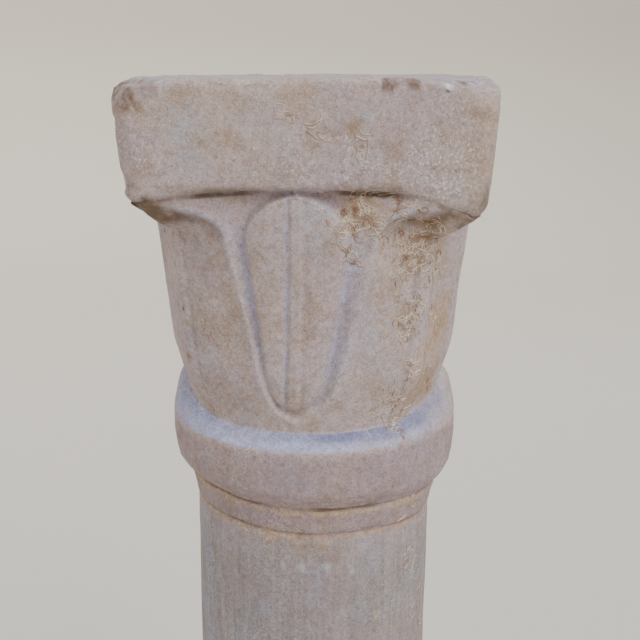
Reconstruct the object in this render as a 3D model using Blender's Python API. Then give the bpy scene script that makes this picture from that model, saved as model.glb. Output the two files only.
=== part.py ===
"""A small marble column, carved from one block.

From the top down it has a square abacus with worn edges, a round bell carved with a
pointed leaf on each face and a broad leaf on each corner, a ring with a fillet under it,
a plain round shaft, and a plain base of a fillet, a torus and a square plinth.

The surface is a stack of closed sections. A section has the same number of points at
every height, and each point is a radius and a height for its angle about the axis.
Depths are measured down from the top face. Angle 0 is the front, towards -Y.
"""

import math

import bmesh
import bpy
import numpy as np

# Whole column, metres
COLUMN_HEIGHT = 1.120

# Abacus: the square block on top
ABACUS_WIDTH = 0.2465
ABACUS_TAPER = 0.0056         # how far each face curves in from top to bottom
ABACUS_HEIGHT = 0.0715        # at the middle of a face
ABACUS_CORNER_DROP = 0.009    # how much lower the block's edge is at its corners
FRONT_RIGHT_DROP = 0.007      # and how much lower still at the front right corner
FRONT_RIGHT_REACH = 0.30      # radians either side of that corner
ABACUS_CORNER_RADIUS = 0.015  # the vertical corners, worn round, in plan
TOP_EDGE_WEAR = 0.005         # radius of the upper edge, worn round
LOWER_EDGE_WEAR = 0.0028      # the lower edge, worn to a small bevel
TOP_CORNER_WEAR = 0.007       # extra wear where the upper edge meets a corner
ABACUS_TWIST = math.radians(3.0)   # the block sits a little askew on the leaves
UNDERCUT = 0.003              # how far the leaves stand back from the block's face

# Bell, measured from the abacus down to the ring
BELL_HEIGHT = 0.1700
BELL_TOP_RADIUS = 0.1210
BELL_FOOT_RADIUS = 0.0995
CORNER_FULLNESS = 0.18        # how square the bell stays down to the last quarter
FULLNESS_END = 0.75           # share of the bell's height where the squareness starts to fade
CORNER_FLARE_LENGTH = 0.0265  # height over which the corners sweep out under the block
CORNER_FLARE_POWER = 1.2      # 1 for a straight slope, more for a bulging one
TWIST_END = 0.30              # share of the bell's height where the block's twist and drop have faded
RISE_START = 0.65             # share of the bell's height where the ring's climb starts

# Leaf in the middle of each face
LEAF_HALF_ANGLE = math.radians(17.8)
LEAF_TOP = 0.0025             # from the block down to the leaf's round head
LEAF_HEAD = 0.034             # from the block down to the leaf's widest place
LEAF_LENGTH = 0.1545          # from the block down to its tip
LEAF_NARROWING = 0.45         # share of the width that it loses above the blunt tip
LEAF_TIP_POWER = 12           # the higher, the blunter the tip
LEAF_TURN = math.radians(0.3)      # the head sits a little to the right of the face's middle
LEAF_LEAN = math.radians(-2.4)     # and the tip leans to the left
LEAF_WALL = 0.0060            # width of the leaf's sloping side
LEAF_SET_BACK = 0.0008        # how far the leaf stands back from the bell
LEAF_SWELL = 0.0016           # each half of the leaf swells a little
RIB_HALF_WIDTH = 0.0053
RIB_FLANK = 0.0022
RIB_HEIGHT = 0.0016

# Broad leaves on the corners
CORNER_LEAF_ANGLE = math.radians(23.7)
CORNER_LEAF_TURN = math.radians(1.4)
CORNER_LEAF_NARROWING = 0.53  # how much nearer the edges come to the face's middle above the tip
CORNER_LEAF_SWING = 0.036     # height over which the edge swings out to the corner
CORNER_SWING_POWER = 2.6      # the higher, the flatter the edge runs out to the corner
CORNER_TIP_POWER = 10         # the higher, the blunter the channel's foot
CORNER_LEAF_TIP = 0.162       # depth in the bell where the edges meet below the leaf
CORNER_LEAF_DISH = 0.0040     # hollow of the leaf under the block
CORNER_DISH_TOP = 0.012       # depth where that hollow is full
CORNER_DISH_LENGTH = 0.070    # height over which it fades
CORNER_RIB_HALF_ANGLE = math.radians(3.0)
CORNER_RIB_HEIGHT = 0.0013
CHANNEL_DEPTH = 0.0048        # the channel between the leaves
HOLLOW_DEPTH = 0.0058         # further depth of the hollow under the block
HOLLOW_LENGTH = 0.042         # how far down the hollow runs out into the channel

# Ring and fillet under the bell
RING_RADIUS = 0.1113
RING_LEDGE = 0.0100           # height of the sloping top of the ring
RING_HEIGHT = 0.0485
RING_BELLY = 0.0015            # how far the band leans in before it turns under
RING_FOOT = 0.0012            # how far the ring's foot stands out over the fillet
RING_SIDE_RISE = 0.020        # the ledge climbs on the left and right faces
FILLET_RADIUS = 0.0960
FILLET_HEIGHT = 0.0217
QUIRK_DEPTH = 0.0022          # the cut lines above and below the fillet
QUIRK_WIDTH = 0.0016

# Shaft
SHAFT_TOP_RADIUS = 0.0940
SHAFT_FOOT_RADIUS = 0.0955
SHAFT_SWELL = 0.0004

# Base
BASE_FILLET_RADIUS = 0.1020
BASE_FILLET_HEIGHT = 0.013
TORUS_RADIUS = 0.1190
TORUS_HEIGHT = 0.036
TORUS_POWER = 0.7             # 1 for a half circle, less for a fuller roll
PLINTH_WIDTH = 0.256
PLINTH_HEIGHT = 0.083
PLINTH_CORNER_RADIUS = 0.008
PLINTH_EDGE_WEAR = 0.0025

# Sampling of the solid, per half face: counts of steps between the carving's own lines
FACES = 4
HALF_FACE = math.pi / FACES
RIB_STEPS, LEAF_STEPS, WALL_STEPS, GROOVE_STEPS, CORNER_STEPS, CORNER_RIB_STEPS = 1, 3, 1, 2, 4, 2

# Marble colour, as linear red, green and blue
STONE_COLOUR = (0.37, 0.30, 0.26)
STONE_ROUGHNESS = 0.85

STONE_NAME = "column"


def smooth(value):
    """0 below 0, 1 above 1 and a soft S between."""
    t = np.clip(value, 0.0, 1.0)
    return t * t * (3.0 - 2.0 * t)


def square_radius(angle, half_width, corner_radius):
    """Radius of a square with round corners, at an angle from the middle of a side."""
    side = half_width / np.cos(angle)
    centre = half_width - corner_radius
    along = centre * (np.abs(np.sin(angle)) + np.cos(angle))
    reach = np.maximum(along**2 - 2.0 * centre**2 + corner_radius**2, 0.0)
    in_corner = side * np.abs(np.sin(angle)) > centre
    return np.where(in_corner, along + np.sqrt(reach), side)


def leaf_half_angle(depth):
    """Half width of the face's leaf: half an ellipse, then a slow narrowing to a blunt tip."""
    head = np.clip((LEAF_HEAD - depth) / (LEAF_HEAD - LEAF_TOP), 0.0, 1.0)
    body = np.clip((depth - LEAF_HEAD) / (LEAF_LENGTH - LEAF_HEAD), 0.0, 1.0)
    tip = np.sqrt(1.0 - body**LEAF_TIP_POWER)
    return LEAF_HALF_ANGLE * np.sqrt(1.0 - head**2) * (1.0 - LEAF_NARROWING * body) * tip


def corner_edge_angle(depth):
    """Inner edge of the corner leaf. It swings out to the corner under the block."""
    body = np.clip((depth - CORNER_LEAF_SWING) / (CORNER_LEAF_TIP - CORNER_LEAF_SWING), 0.0, 1.0)
    swing = np.clip(1.0 - depth / CORNER_LEAF_SWING, 0.0, 1.0) ** CORNER_SWING_POWER
    foot = np.sqrt(1.0 - body**CORNER_TIP_POWER)
    edge = CORNER_LEAF_ANGLE * (1.0 - CORNER_LEAF_NARROWING * body) * foot
    return edge + (HALF_FACE - CORNER_LEAF_ANGLE) * swing


def spread(knots, steps):
    """Values along the knots, with the given number of even steps in each stretch."""
    values = [knots[0]]
    for start, end, count in zip(knots, knots[1:], steps):
        values += [start + (end - start) * (i + 1) / count for i in range(count)]
    return np.array(values)


def body_radius(depth):
    """Radius of the bell before it is carved."""
    return BELL_TOP_RADIUS + (BELL_FOOT_RADIUS - BELL_TOP_RADIUS) * depth / BELL_HEIGHT


def half_face_knots(depth):
    """The carving's own lines, as angles from the middle of a leaf to the column's corner."""
    wall, rib = LEAF_WALL / body_radius(depth), RIB_HALF_WIDTH / body_radius(depth)
    inner = max(float(leaf_half_angle(depth)) - wall / 2, 2 * rib)
    outer = inner + wall
    edge = min(max(float(corner_edge_angle(depth)), outer + rib), HALF_FACE - 3 * CORNER_RIB_HALF_ANGLE)
    return [0.0, rib, inner, outer, edge, HALF_FACE - CORNER_RIB_HALF_ANGLE, HALF_FACE]


def section_angles(depth):
    """Angles from each face's middle, for a whole section, and the matching middles."""
    steps = [RIB_STEPS, LEAF_STEPS, WALL_STEPS, GROOVE_STEPS, CORNER_STEPS, CORNER_RIB_STEPS]
    half = spread(half_face_knots(depth), steps)
    face = np.concatenate([-half[:0:-1], half[:-1]])
    middles = np.repeat(np.arange(FACES) * 2 * HALF_FACE, len(face))
    return middles, np.tile(face, FACES)


def bell_turn(depth, face, twist):
    """How far the leaf, its channel and the corner are each turned, blended between their lines."""
    _, _, _, outer, edge, _, corner = half_face_knots(depth)
    sag = (depth / LEAF_LENGTH) ** 2
    leaf_turn = LEAF_TURN + LEAF_LEAN * sag
    edge_turn = CORNER_LEAF_TURN * (1.0 - sag)
    return np.interp(np.abs(face), [outer, edge, corner], [leaf_turn, edge_turn, twist])


def bell_radius(depth, face, turned):
    """Radius of the carved bell. Face is the angle from the leaf, turned from the block's face."""
    share = depth / BELL_HEIGHT
    body = body_radius(depth)
    square = square_radius(turned, abacus_half_width(ABACUS_HEIGHT) - UNDERCUT, ABACUS_CORNER_RADIUS)
    flare = 1.0 - min(depth / CORNER_FLARE_LENGTH, 1.0) ** CORNER_FLARE_POWER
    fade = 1.0 - smooth((share - FULLNESS_END) / (1.0 - FULLNESS_END))
    layer = body + (square - body) * (flare + (1.0 - flare) * CORNER_FULLNESS * fade)

    off = np.abs(face)
    leaf, edge, wall = leaf_half_angle(depth), corner_edge_angle(depth), LEAF_WALL / body
    outside_leaf = smooth((off - leaf) / wall + 0.5)
    flank = np.maximum(edge - leaf - wall / 2, wall / 2)
    channel = outside_leaf * (1.0 - smooth((off - leaf - wall / 2) / flank))
    carved = layer - channel * (CHANNEL_DEPTH + HOLLOW_DEPTH * (1.0 - smooth(depth / HOLLOW_LENGTH)))

    rib_half = RIB_HALF_WIDTH / body
    in_leaf = (1.0 - outside_leaf) * smooth(leaf / rib_half - 1.0)
    across = np.clip((off - rib_half) / np.maximum(leaf - rib_half, rib_half), 0.0, 1.0)
    rib = RIB_HEIGHT * smooth((rib_half - off) * body / RIB_FLANK)
    carved = carved + in_leaf * (LEAF_SWELL * np.sin(math.pi * across) ** 0.6 - LEAF_SET_BACK + rib)

    inside = np.clip((off - edge) / np.maximum(HALF_FACE - edge, CORNER_RIB_HALF_ANGLE), 0.0, 1.0)
    dish = smooth(depth / CORNER_DISH_TOP) * (1.0 - smooth(depth / CORNER_DISH_LENGTH))
    carved = carved - CORNER_LEAF_DISH * dish * np.sin(math.pi * inside)
    corner_rib = smooth(1.5 - (HALF_FACE - off) / CORNER_RIB_HALF_ANGLE)
    return carved + CORNER_RIB_HEIGHT * corner_rib * fade


def abacus_half_width(depth):
    """Half the block's width at a depth below the top."""
    return ABACUS_WIDTH / 2 - ABACUS_TAPER * (depth / ABACUS_HEIGHT) ** 2


def corner_drop(around, face):
    """How far the block's lower edge hangs towards its corners, most at the front right one."""
    front_right = smooth(1.0 - np.abs(around - HALF_FACE - ABACUS_TWIST) / FRONT_RIGHT_REACH)
    return ABACUS_CORNER_DROP * (face / HALF_FACE) ** 4 + FRONT_RIGHT_DROP * front_right


def block_section(depth, inset, corner_radius, drop=0.0, corner_wear=0.0):
    """A level of the block. Its edge hangs by a share of the corner drop and is worn at the corners."""
    middles, face = section_angles(LEAF_HEAD)
    around = middles + face + ABACUS_TWIST
    radius = square_radius(face, abacus_half_width(depth) - inset, corner_radius)
    fall = drop * corner_drop(around, face) + corner_wear * (face / HALF_FACE) ** 4
    return around, radius, depth + fall


def bell_section(depth):
    """A level of the bell, at a depth below the block."""
    middles, face = section_angles(depth)
    share = depth / BELL_HEIGHT
    blend = 1.0 - smooth(share / TWIST_END)
    twist = ABACUS_TWIST * blend
    turn = bell_turn(depth, face, twist)
    around = middles + face + turn
    radius = bell_radius(depth, face, face + turn - twist)
    drop = corner_drop(around, face) * blend
    rise = RING_SIDE_RISE * np.sin(around) ** 6 * smooth((share - RISE_START) / (1.0 - RISE_START))
    return around, radius, ABACUS_HEIGHT + depth + drop - rise


def round_section(depth, radius):
    """A plain round level."""
    middles, face = section_angles(LEAF_HEAD)
    return middles + face, np.full(len(face), radius), np.full(len(face), depth)


def plinth_section(depth, half_width):
    """A level of the square plinth."""
    middles, face = section_angles(LEAF_HEAD)
    radius = square_radius(face, half_width, PLINTH_CORNER_RADIUS)
    return middles + face, radius, np.full(len(face), depth)


def abacus_sections():
    """The block: upper edge worn round, leaning faces and arched lower edge."""
    wear, lower = TOP_EDGE_WEAR, LOWER_EDGE_WEAR
    halfway = wear * (1.0 - math.sqrt(0.5))
    worn_corner = ABACUS_CORNER_RADIUS + TOP_CORNER_WEAR
    return [
        block_section(0.0, wear, worn_corner + wear),
        block_section(halfway, halfway, worn_corner, 0.0, TOP_CORNER_WEAR / 4),
        block_section(wear, 0.0, worn_corner, 0.0, TOP_CORNER_WEAR / 2),
        block_section(0.55 * ABACUS_HEIGHT, 0.0, ABACUS_CORNER_RADIUS, 0.2),
        block_section(ABACUS_HEIGHT - lower, 0.0, ABACUS_CORNER_RADIUS, 1.0),
        block_section(ABACUS_HEIGHT, lower / 2, ABACUS_CORNER_RADIUS, 1.0),
    ]


def bell_sections():
    """The bell, closer together where the leaves turn."""
    shares = [0.012, 0.04, 0.07, 0.11, 0.16, 0.22, 0.30, 0.41, 0.53, 0.65, 0.76, 0.84, 0.90,
              0.945, 0.98]
    return [bell_section(share * BELL_HEIGHT) for share in shares]


def ring_sections(top):
    """The ring with its sloping ledge, and the fillet between two cut lines."""
    belly = RING_RADIUS - RING_BELLY
    lower = FILLET_RADIUS + RING_FOOT
    ring_foot = top + RING_LEDGE + RING_HEIGHT
    fillet_foot = ring_foot + FILLET_HEIGHT
    outline = [
        (top + RING_LEDGE, RING_RADIUS - RING_FOOT / 3),
        (top + RING_LEDGE + 0.12 * RING_HEIGHT, RING_RADIUS),
        (top + RING_LEDGE + 0.72 * RING_HEIGHT, belly),
        (top + RING_LEDGE + 0.90 * RING_HEIGHT, (belly + lower) / 2),
        (ring_foot - QUIRK_WIDTH / 2, lower),
        (ring_foot, FILLET_RADIUS - QUIRK_DEPTH),
        (ring_foot + QUIRK_WIDTH / 2, FILLET_RADIUS),
        (ring_foot + 0.55 * FILLET_HEIGHT, (3 * FILLET_RADIUS + SHAFT_TOP_RADIUS) / 4),
        (fillet_foot - QUIRK_WIDTH / 2, (FILLET_RADIUS + 2 * SHAFT_TOP_RADIUS) / 3),
        (fillet_foot, SHAFT_TOP_RADIUS - QUIRK_DEPTH / 2),
        (fillet_foot + QUIRK_WIDTH, SHAFT_TOP_RADIUS),
    ]
    return [round_section(depth, radius) for depth, radius in outline]


def shaft_sections(top, foot):
    """The shaft, which swells very slightly downwards."""
    middle = (top + foot) / 2
    radius = (SHAFT_TOP_RADIUS + SHAFT_FOOT_RADIUS) / 2 + SHAFT_SWELL
    return [round_section(middle, radius), round_section(foot, SHAFT_FOOT_RADIUS)]


def base_sections(top):
    """Fillet, torus and plinth, from the shaft down to the ground."""
    fillet_foot = top + BASE_FILLET_HEIGHT
    torus_foot = fillet_foot + TORUS_HEIGHT
    sections = [
        round_section(top + QUIRK_WIDTH, BASE_FILLET_RADIUS),
        round_section(fillet_foot - QUIRK_WIDTH / 2, BASE_FILLET_RADIUS),
        round_section(fillet_foot, BASE_FILLET_RADIUS - QUIRK_DEPTH),
    ]
    turns = 6
    inner = BASE_FILLET_RADIUS
    for i in range(turns):
        turn = math.pi * (i + 0.5) / turns
        radius = inner + (TORUS_RADIUS - inner) * math.sin(turn) ** TORUS_POWER
        depth = fillet_foot + TORUS_HEIGHT * (1.0 - math.cos(turn)) / 2
        sections.append(round_section(depth, radius))
    half, wear = PLINTH_WIDTH / 2, PLINTH_EDGE_WEAR
    sections += [
        round_section(torus_foot, inner + QUIRK_DEPTH),
        plinth_section(torus_foot + QUIRK_WIDTH / 2, half - wear),
        plinth_section(torus_foot + wear + QUIRK_WIDTH / 2, half),
        plinth_section(COLUMN_HEIGHT - wear / 2, half),
        plinth_section(COLUMN_HEIGHT, half - wear / 2),
    ]
    return sections


def column_sections():
    """Every section from the top face to the underside."""
    bell_foot = ABACUS_HEIGHT + BELL_HEIGHT
    shaft_top = bell_foot + RING_LEDGE + RING_HEIGHT + FILLET_HEIGHT + QUIRK_WIDTH
    base_top = COLUMN_HEIGHT - PLINTH_HEIGHT - TORUS_HEIGHT - BASE_FILLET_HEIGHT
    sections = abacus_sections() + bell_sections() + ring_sections(bell_foot)
    return sections + shaft_sections(shaft_top, base_top) + base_sections(base_top)


def build_mesh(name, sections):
    """One closed mesh: the sections joined by quads, with a flat cap at each end."""
    mesh = bmesh.new()
    rings = []
    for around, radius, depth in sections:
        points = zip(radius * np.sin(around), -radius * np.cos(around), COLUMN_HEIGHT - depth)
        rings.append([mesh.verts.new(point) for point in points])
    count = len(rings[0])
    for upper, lower in zip(rings, rings[1:]):
        for i in range(count):
            j = (i + 1) % count
            mesh.faces.new((upper[i], lower[i], lower[j], upper[j]))
    mesh.faces.new(rings[0])
    mesh.faces.new(rings[-1][::-1])
    bmesh.ops.recalc_face_normals(mesh, faces=mesh.faces)
    data = bpy.data.meshes.new(name)
    mesh.to_mesh(data)
    mesh.free()
    return data


def make_stone():
    """Plain weathered marble."""
    stone = bpy.data.materials.new("marble")
    stone.use_nodes = True
    shader = stone.node_tree.nodes["Principled BSDF"]
    shader.inputs["Base Color"].default_value = (*STONE_COLOUR, 1.0)
    shader.inputs["Roughness"].default_value = STONE_ROUGHNESS
    shader.inputs["Metallic"].default_value = 0.0
    return stone


def main():
    """Clears the scene and builds the column, standing on the ground at the origin."""
    for old in list(bpy.data.objects):
        bpy.data.objects.remove(old)
    data = build_mesh(STONE_NAME, column_sections())
    data.materials.append(make_stone())
    data.shade_smooth()
    data.set_sharp_from_angle(angle=math.radians(40.0))
    column = bpy.data.objects.new(STONE_NAME, data)
    bpy.context.scene.collection.objects.link(column)


main()
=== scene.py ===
import math

import bpy
import numpy as np
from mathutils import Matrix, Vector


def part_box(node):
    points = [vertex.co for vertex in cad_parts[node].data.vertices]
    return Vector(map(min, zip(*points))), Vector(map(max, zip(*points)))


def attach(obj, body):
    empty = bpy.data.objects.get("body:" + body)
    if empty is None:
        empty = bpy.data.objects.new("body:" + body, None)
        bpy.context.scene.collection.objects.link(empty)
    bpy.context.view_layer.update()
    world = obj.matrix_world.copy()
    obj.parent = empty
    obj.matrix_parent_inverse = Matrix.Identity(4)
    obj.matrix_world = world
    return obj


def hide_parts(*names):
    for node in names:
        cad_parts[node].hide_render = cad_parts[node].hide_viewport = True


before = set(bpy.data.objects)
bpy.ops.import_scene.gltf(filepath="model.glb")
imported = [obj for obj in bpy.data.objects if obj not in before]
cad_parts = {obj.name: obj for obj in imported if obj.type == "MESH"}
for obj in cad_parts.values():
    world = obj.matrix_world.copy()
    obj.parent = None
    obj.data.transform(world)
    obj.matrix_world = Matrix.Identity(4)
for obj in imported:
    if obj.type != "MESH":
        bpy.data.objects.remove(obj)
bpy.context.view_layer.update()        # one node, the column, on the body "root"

columnLow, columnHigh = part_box("column")
columnHeight = columnHigh[2] - columnLow[2]

# The view that the photograph was taken from, in metres, degrees and pixels of its 640 x 640 frame
view = {
    "frame": 640,
    "focal": 950.0,        # pixels
    "sensor": 36.0,        # millimetres across the frame
    "azimuth": 6.0,        # to the right of the front face
    "pitch": 15.0,         # looking down
    "distance": 0.719,     # from the lens to the column's axis
    "above": 0.006,        # lens over the top face
    "axisPixel": 313.5,    # where the axis falls in the frame
}


def addObject(name, data):
    piece = bpy.data.objects.new(name, data)
    bpy.context.scene.collection.objects.link(piece)
    return piece


def makeCamera():
    # stands at (distance, azimuth) about the axis and looks down by pitch; a small yaw puts the axis
    # on its pixel
    azimuth = math.radians(view["azimuth"])
    yaw = math.atan((view["frame"] / 2 - view["axisPixel"]) / view["focal"])
    data = bpy.data.cameras.new("photoCamera")
    data.sensor_width = view["sensor"]
    data.lens = view["focal"] / view["frame"] * view["sensor"]
    data.clip_start = 0.01
    camera = addObject("photoCamera", data)
    reach = view["distance"]
    camera.location = (reach * math.sin(azimuth), -reach * math.cos(azimuth), columnHeight + view["above"])
    camera.rotation_euler = (math.radians(90.0 - view["pitch"]), 0.0, azimuth - yaw)
    bpy.context.scene.camera = camera
    bpy.context.view_layer.update()
    return camera


camera = makeCamera()
print("camera placed")

# The column's own sizes in metres and degrees. Depths run down from the top face.
column = {
    "around": 400,             # grid points round the column
    "frontShare": 0.25,        # how much closer together they are at the front than at the sides
    "abacusWidth": 0.2465, "abacusTaper": 0.0056, "abacusHeight": 0.0715,
    "abacusDrop": 0.009, "frontRightDrop": 0.007, "abacusCorner": 0.015, "abacusTwist": math.radians(3.0),
    "topRound": 0.005, "footRound": 0.004, "cornerWear": 0.016, "cornerWearDepth": 0.018,
    "cornerSink": 0.0035, "frontRightReach": 0.3, "eaveHeight": 0.0075,
    "undercut": 0.003,
    "bellHeight": 0.17, "bellTop": 0.121, "bellFoot": 0.0995, "fullness": 0.18,
    "flare": 0.0265, "flarePower": 1.2, "twistEnd": 0.3, "fadeStart": 0.75,   # shares of the bell's height
    "leafTurn": math.radians(0.3), "leafLean": math.radians(-2.4), "leafHalf": math.radians(17.8),
    "leafHead": 0.034, "leafTop": 0.0025, "leafLength": 0.1545, "leafNarrowing": 0.45, "leafWall": 0.006,
    "leafSetBack": 0.0008, "leafSwell": 0.0016,
    "ribWidth": 0.0053, "ribFlank": 0.0022, "ribHeight": 0.0019, "ribCut": 0.0008,
    "edgeTurn": math.radians(1.4), "edgeHalf": math.radians(23.7), "edgeSwing": 0.036, "edgeTip": 0.162,
    "edgeNarrowing": 0.53,
    "channelDepth": 0.0048, "hollowDepth": 0.0058, "hollowLength": 0.042,
    "rim": 0.001, "lip": 0.0022, "rimWidth": 0.003, "recess": 0.0046, "dish": 0.0022,
    "recessInside": 0.0105, "recessWidth": 0.006, "upperStart": 0.008, "upperLength": 0.045,
    "carvedFrom": 0.003,
    "cornerRib": math.radians(4.2), "cornerRibHeight": 0.0013, "cornerCut": 0.0009, "lineWidth": 0.0012,
    "quirkHeight": 0.0026, "quirkDepth": 0.0042, "headLift": 0.0022, "leastChannel": 0.0022,
    "sideRise": 0.02, "ledge": 0.01, "ringRadius": 0.1113, "ringHeight": 0.0485,
    "ringTilt": 0.002, "ringSag": 0.0042, "ringSagTurn": math.radians(80.0), "ringSagReach": 0.55,
    "filletRadius": 0.096, "filletSlope": 0.0034, "filletHeight": 0.0217,
    "cutDepth": 0.0015, "cutWidth": 0.0016, "creaseWidth": 0.0068,
    "shaftTop": 0.094, "shaftFoot": 0.0955, "shaftSwell": 0.0004, "shaftNear": 0.11,
    "shaftBow": 0.0016, "bowDepth": 0.47, "bowLength": 0.1,
    "baseFillet": 0.102, "baseFilletHeight": 0.013, "torus": 0.119, "torusHeight": 0.036,
    "plinthWidth": 0.256, "plinthHeight": 0.083, "plinthCorner": 0.008, "plinthRound": 0.0025,
}


def softStep(value):
    # 0 below 0, 1 above 1, and 3t^2 - 2t^3 between
    t = np.clip(value, 0.0, 1.0)
    return t * t * (3.0 - 2.0 * t)


def ramp(value, start, length):
    # softStep that leaves 0 at the start and reaches 1 a length further on
    return softStep((value - start) / length)


def fall(value, end, length):
    # softStep that leaves 1 a length before the end and reaches 0 there
    return softStep((end - value) / length)


def ridge(value, middle, width):
    # exp(-((value - middle) / width)^2)
    return np.exp(-((value - middle) / width) ** 2)


def latticeNoise(points, size, seed):
    # value noise: random numbers from -1 to 1 on a cubic lattice of the given size, blended by softStep
    cell = points / size
    base = np.floor(cell).astype(np.int64)
    blend = softStep(cell - base)
    total = np.zeros(points.shape[:-1])
    for corner in range(8):
        step = np.array([corner & 1, corner >> 1 & 1, corner >> 2 & 1])
        node = base + step
        key = node[..., 0] * 73856093 ^ node[..., 1] * 19349663 ^ node[..., 2] * 83492791 ^ seed * 374761393
        key = (key ^ key >> 13) * 1274126177 & 0xFFFFFFFF
        value = ((key ^ key >> 16) & 0xFFFF) / 32767.5 - 1.0
        total += value * np.prod(np.where(step == 1, blend, 1.0 - blend), axis=-1)
    return total


def layeredNoise(points, size, layers, seed):
    # sum of lattice noises, each half the size and half the strength of the one before
    total = np.zeros(points.shape[:-1])
    for layer in range(layers):
        total += latticeNoise(points, size / 2**layer, seed + layer) / 2**layer
    return total


def squareRadius(angle, half, corner):
    # radius of a square with round corners at an angle from the middle of a side: half / cos(angle)
    # on the side, and the far crossing with the corner's circle elsewhere
    side = half / np.cos(angle)
    centre = half - corner
    along = centre * (np.abs(np.sin(angle)) + np.cos(angle))
    reach = np.maximum(along**2 - 2.0 * centre**2 + corner**2, 0.0)
    return np.where(side * np.abs(np.sin(angle)) > centre, along + np.sqrt(reach), side)


def faceAngle(turn):
    # angle from the middle of the nearest face, -45 to 45 degrees
    return (turn + math.pi / 4) % (math.pi / 2) - math.pi / 4


def topFace(turn):
    # rings from near the centre to the crown: radius = share x crown radius
    c = column
    share = np.array([0.06, 0.2, 0.36, 0.52, 0.66, 0.78, 0.87, 0.93, 0.97])[:, None]
    face = faceAngle(turn - c["abacusTwist"])
    crown = squareRadius(face, c["abacusWidth"] / 2 - c["topRound"], c["abacusCorner"] + c["cornerWear"])
    depth = 0.0002 + 0.0006 * share**4
    return crown * share, depth + 0.0 * turn


def abacusSide(turn):
    # down the block's side: half width = width/2 - taper - a quarter circle at each end of the side
    c = column
    straightFoot = c["abacusHeight"] - c["footRound"]
    top = (1.0 - np.cos(np.linspace(0.0, math.pi / 2, 7))) * c["topRound"]
    middle = np.linspace(c["topRound"], straightFoot, 28)[1:]
    foot = straightFoot + np.sin(np.linspace(0.0, math.pi / 2, 6))[1:] * c["footRound"]
    level = np.concatenate([top, middle, foot])[:, None]
    face = faceAngle(turn - c["abacusTwist"])
    upper = np.clip(1.0 - level / c["topRound"], 0.0, 1.0)
    lower = np.clip((level - c["abacusHeight"]) / c["footRound"] + 1.0, 0.0, 1.0)
    inset = c["topRound"] * (1.0 - np.sqrt(1.0 - upper**2)) + c["footRound"] * (1.0 - np.sqrt(1.0 - lower**2))
    half = c["abacusWidth"] / 2 - c["abacusTaper"] * (level / c["abacusHeight"]) ** 2 - inset
    corner = c["abacusCorner"] + c["cornerWear"] * np.clip(1.0 - level / c["cornerWearDepth"], 0.0, 1.0) ** 2
    radius = squareRadius(face + 0.0 * level, half, corner)
    drop = cornerDrop(turn, face) * (level / c["abacusHeight"]) ** 3
    wornCorner = c["cornerSink"] * softStep(np.abs(face) / 0.35 - 1.1) * np.clip(1.0 - level / 0.02, 0.0, 1.0)
    off = np.abs(faceAngle(turn) - c["leafTurn"])
    besideLeaf = ramp(off, 0.12, 0.16) * fall(off, 0.66, 0.2)
    # painted shade along the block's lower edge beside the leaves
    eaveShade = softStep(1.0 - (c["abacusHeight"] - level) / c["eaveHeight"]) * besideLeaf
    return radius, level + drop + wornCorner, {"eaveShade": eaveShade}


def leafEdge(depth):
    # half width of the face's leaf: a half ellipse above its widest place, and below it
    # (1 - narrowing x t) x sqrt(1 - t^12) down to a blunt tip
    c = column
    head = np.clip((c["leafHead"] - depth) / (c["leafHead"] - c["leafTop"]), 0.0, 1.0)
    body = np.clip((depth - c["leafHead"]) / (c["leafLength"] - c["leafHead"]), 0.0, 1.0)
    half = c["leafHalf"] * np.sqrt(1.0 - head**2) * (1.0 - c["leafNarrowing"] * body)
    return half * np.sqrt(1.0 - body**12)


def cornerEdge(depth):
    # inner edge of a corner leaf: (1 - narrowing x t) x sqrt(1 - t^10), swinging out to the corner on top
    c = column
    body = np.clip((depth - c["edgeSwing"]) / (c["edgeTip"] - c["edgeSwing"]), 0.0, 1.0)
    swing = np.clip(1.0 - depth / c["edgeSwing"], 0.0, 1.0) ** 2.6
    edge = c["edgeHalf"] * (1.0 - c["edgeNarrowing"] * body) * np.sqrt(1.0 - body**10)
    return edge + (math.pi / 4 - c["edgeHalf"]) * swing


def cornerDrop(turn, face):
    # how far the block's lower edge hangs: drop x (angle / 45 degrees)^4, and lower still at the
    # front right corner
    c = column
    corner = math.pi / 4 + c["abacusTwist"]
    lowest = softStep(1.0 - np.abs(turn - corner) / c["frontRightReach"])
    return c["abacusDrop"] * (face / (math.pi / 4)) ** 4 + c["frontRightDrop"] * lowest


def bellRows():
    # levels of the bell, close together at the quirk under the block and at the foot
    c = column
    top = np.array([0.0006, 0.0013, 0.002, 0.0027, 0.0035, 0.0044, 0.0054, 0.0066, 0.008, 0.0096, 0.0114])
    body = np.linspace(0.0134, c["bellHeight"] - 0.008, 60)
    foot = c["bellHeight"] - np.array([0.0062, 0.0045, 0.003, 0.0017, 0.0007, 0.0])
    return np.concatenate([top, body, foot])[:, None]


def bellLayer(turn, depth):
    # the bell before it is carved: a cone, squarer towards the corners by a share that is 1 under the block,
    # falls as 1 - (depth / flare)^power to the fullness and fades out in the last quarter
    c = column
    share = depth / c["bellHeight"]
    body = c["bellTop"] + (c["bellFoot"] - c["bellTop"]) * share
    turned = faceAngle(turn - c["abacusTwist"] * (1.0 - softStep(share / c["twistEnd"])))
    square = squareRadius(turned, c["abacusWidth"] / 2 - c["abacusTaper"] - c["undercut"], c["abacusCorner"])
    flare = 1.0 - np.clip(depth / c["flare"], 0.0, 1.0) ** c["flarePower"]
    fade = 1.0 - ramp(share, c["fadeStart"], 1.0 - c["fadeStart"])
    return body + (square - body) * (flare + (1.0 - flare) * c["fullness"] * fade), body, turned, fade


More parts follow.
